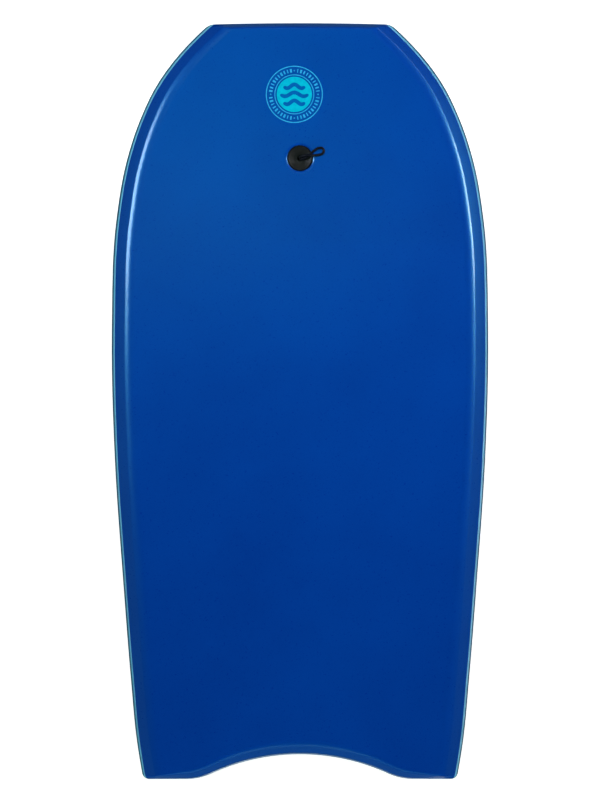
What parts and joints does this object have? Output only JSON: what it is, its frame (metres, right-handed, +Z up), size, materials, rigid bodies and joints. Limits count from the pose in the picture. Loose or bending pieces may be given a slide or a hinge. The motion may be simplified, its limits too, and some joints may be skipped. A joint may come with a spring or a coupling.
{
  "type": "bodyboard",
  "caption": "Bodyboard with a wrapped blue deck, cyan side rails, a crescent tail, a slick bottom and a leash plug holding a loop of string near the nose.",
  "frame": {"origin": "under the middle of the board, in the plane that the flat part of its bottom rests on", "axes": "+Z up out of the deck, +Y towards the nose, +X to the rider's right; the board is symmetric about X = 0"},
  "size_m": [0.532, 1.067, 0.0746],
  "materials": {
    "deck_foam": "satin",
    "edge_foam": "satin",
    "rail_foam": "satin",
    "lower_rail_foam": "satin",
    "core_foam": "matte",
    "backing_foam": "matte",
    "slick_skin": "gloss",
    "plug_plastic": "satin",
    "string_cord": "matte"
  },
  "bodies": {
    "board": {"core": "core_foam", "deck_skin": "deck_foam", "rail_left_upper": "rail_foam", "rail_left_lower": "lower_rail_foam", "rail_right_upper": "rail_foam", "rail_right_lower": "lower_rail_foam", "nose_bumper": "edge_foam", "tail_strip": "edge_foam", "bottom_backing": "backing_foam", "slick_bottom": "slick_skin", "plug_top": "plug_plastic", "plug_bottom": "plug_plastic"},
    "string": {"leash_string": "string_cord", "string_knot": "string_cord"}
  },
  "joints": [
    {"name": "string_swivel", "type": "hinge", "parent": "board", "child": "string", "pos_m": [0, 0.3425, 0.05682], "axis": [0, -0.0479, 0.9989], "continuous": true}
  ]
}
